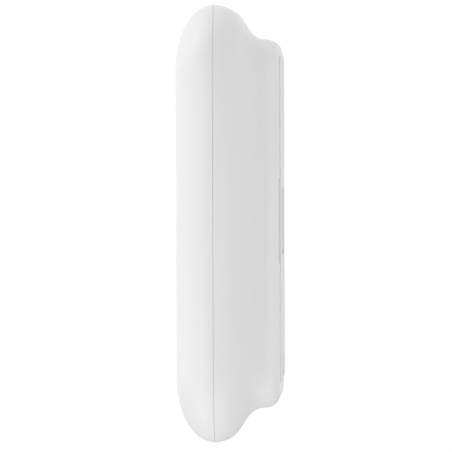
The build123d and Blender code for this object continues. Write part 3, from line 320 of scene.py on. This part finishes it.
FINISHES = {
    "cover_paint": lambda n: paint(n, WHITE, roughness=0.4),
    "shell_paint": lambda n: paint(n, WHITE, roughness=0.42),
    "panel_paint": lambda n: paint(
        n, (0.72, 0.72, 0.72), roughness=0.5, peel=0.0004, peel_scale=PANEL_PEEL
    ),
    "bracket_paint": lambda n: paint(
        n, (0.74, 0.74, 0.74), roughness=0.5, peel=0.0004, peel_scale=PANEL_PEEL
    ),
    "zinc_steel": lambda n: plated_steel(n, (0.62, 0.63, 0.64)),
    "screw_steel": lambda n: plated_steel(n, (0.5, 0.5, 0.51), brush=(1.0, 6.0, 1.0), roughness=0.3),
    "seal_rubber": lambda n: rubber(n, (0.62, 0.62, 0.62)),
    "hose_rubber": lambda n: braided_hose(n, (0.03, 0.03, 0.03)),
    "liner_plastic": lambda n: moulding(n, (0.66, 0.66, 0.66), grain=0.0004),
    "grille_plastic": lambda n: moulding(n, (0.7, 0.7, 0.7)),
    "bezel_plastic": lambda n: moulding(n, (0.22, 0.22, 0.225)),
    "knob_plastic": lambda n: moulding(n, (0.52, 0.03, 0.025), roughness=0.4),
    "button_plastic": lambda n: moulding(n, (0.05, 0.05, 0.05), roughness=0.3, grain=0.00015),
    "light_guide": lambda n: glowing_rod(n, (0.75, 0.85, 0.75)),
    "pack_paint": lambda n: paint(n, (0.05, 0.052, 0.055), roughness=0.5, peel=0.0004),
    "cell_can": lambda n: shrink_film(n, (0.05, 0.12, 0.32)),
    "copper": lambda n: plated_steel(n, (0.85, 0.45, 0.28), roughness=0.3),
    "circuit_board": lambda n: circuit_board(n, (0.01, 0.09, 0.035)),
    "cast_aluminium": lambda n: cast_metal(n, (0.68, 0.69, 0.7)),
    "pad_silicone": lambda n: rubber(n, (0.24, 0.29, 0.33)),
    "valve_plastic": lambda n: moulding(n, (0.03, 0.03, 0.03)),
    "choke_coating": lambda n: moulding(n, (0.5, 0.31, 0.03), roughness=0.38),
    "capacitor_sleeve": lambda n: shrink_film(n, (0.02, 0.025, 0.05)),
    "switchgear_plastic": lambda n: moulding(n, (0.04, 0.04, 0.04)),
    "fuse_ceramic": lambda n: moulding(n, (0.72, 0.68, 0.58), roughness=0.35, grain=0.0001),
    "terminal_plastic": lambda n: moulding(n, (0.2, 0.22, 0.2)),
    "brass": lambda n: plated_steel(n, (0.8, 0.58, 0.25), roughness=0.28),
    "fan_plastic": lambda n: moulding(n, (0.02, 0.02, 0.02), roughness=0.42),
    "pump_plastic": lambda n: moulding(n, (0.04, 0.04, 0.045), roughness=0.45),
    "reservoir_plastic": lambda n: moulding(n, (0.72, 0.7, 0.62), roughness=0.35),
    "clip_plastic": lambda n: moulding(n, (0.7, 0.7, 0.68)),
    "foam": lambda n: foam(n, (0.06, 0.06, 0.065)),
}


def dress_nodes():
    """Gives every CAD node the finish of its own material slot."""
    slot_of = {row["node"]: row["material_slot"] for row in frame["record"]["subparts"]}
    finished = {slot: make(slot) for slot, make in FINISHES.items()}
    for name, node in frame["nodes"].items():
        material = finished[slot_of[name]]
        if not node.material_slots:
            node.data.materials.append(material)
        for holder in node.material_slots:
            holder.material = material


# Camera and studio -----------------------------------------------------------


def look_at(target, azimuth, elevation, distance):
    """The place that looks at a target; azimuth 0 is in front of the unit, 90 on its right."""
    outwards = Vector((
        math.sin(azimuth) * math.cos(elevation),
        -math.cos(azimuth) * math.cos(elevation),
        math.sin(elevation),
    ))
    aim = outwards.to_track_quat("Z", "Y").to_matrix().to_4x4()
    return Matrix.Translation(target + outwards * distance) @ aim


def make_camera():
    """The long-lens camera that frames the unit as the product picture does."""
    data = bpy.data.cameras.new("camera")
    data.sensor_width = SENSOR_WIDTH
    data.lens = SENSOR_WIDTH * CAMERA_DISTANCE / VIEW_WIDTH
    data.clip_end = CAMERA_CLIP_END
    camera = bpy.data.objects.new("camera", data)
    bpy.context.scene.collection.objects.link(camera)
    place = look_at(CAMERA_TARGET, CAMERA_AZIMUTH, CAMERA_ELEVATION, CAMERA_DISTANCE)
    camera.matrix_world = place @ Matrix.Rotation(CAMERA_ROLL, 4, "Z")
    bpy.context.scene.camera = camera


def make_world():
    """A white surround that is brightest behind the unit, as the camera sees it."""
    world = bpy.data.worlds.new("studio")
    world.use_nodes = True
    tree = world.node_tree
    tree.nodes.clear()
    place = tree.nodes.new("ShaderNodeTexCoord")
    split = tree.nodes.new("ShaderNodeSeparateXYZ")
    level = tree.nodes.new("ShaderNodeMath")
    level.operation = "MULTIPLY_ADD"
    level.inputs[1].default_value = -WORLD_LEFT_GAIN
    level.inputs[2].default_value = WORLD_LEVEL
    background = tree.nodes.new("ShaderNodeBackground")
    background.inputs["Color"].default_value = (1.0, 1.0, 1.0, 1.0)
    output = tree.nodes.new("ShaderNodeOutputWorld")
    tree.links.new(place.outputs["Generated"], split.inputs["Vector"])
    tree.links.new(split.outputs["X"], level.inputs[0])
    tree.links.new(level.outputs["Value"], background.inputs["Strength"])
    tree.links.new(background.outputs["Background"], output.inputs["Surface"])
    bpy.context.scene.world = world
    bpy.context.scene.view_settings.view_transform = "Standard"


def make_softboxes():
    """Large soft lamps in front of the unit, at its right side, behind it and low down."""
    for azimuth, elevation, power in SOFTBOXES:
        data = bpy.data.lights.new("softbox", "AREA")
        data.shape = "SQUARE"
        data.size = SOFTBOX_SIZE
        data.energy = power
        lamp = bpy.data.objects.new("softbox", data)
        bpy.context.scene.collection.objects.link(lamp)
        place = (math.radians(azimuth), math.radians(elevation), SOFTBOX_DISTANCE)
        lamp.matrix_world = look_at(Vector((0.0, 0.0, 0.0)), *place)


def make_floor():
    """A wide pale floor, well below the unit."""
    mesh = bpy.data.meshes.new("floor")
    shape = bmesh.new()
    bmesh.ops.create_circle(shape, cap_ends=True, segments=FLOOR_SIDES, radius=FLOOR_RADIUS)
    shape.to_mesh(mesh)
    shape.free()
    floor = bpy.data.objects.new("floor", mesh)
    bpy.context.scene.collection.objects.link(floor)
    floor.location = (0.0, 0.0, FLOOR_Z)
    mesh.materials.append(studio_floor("floor_finish", FLOOR_COLOUR))


make_camera()
make_world()
make_softboxes()
make_floor()
dress_nodes()
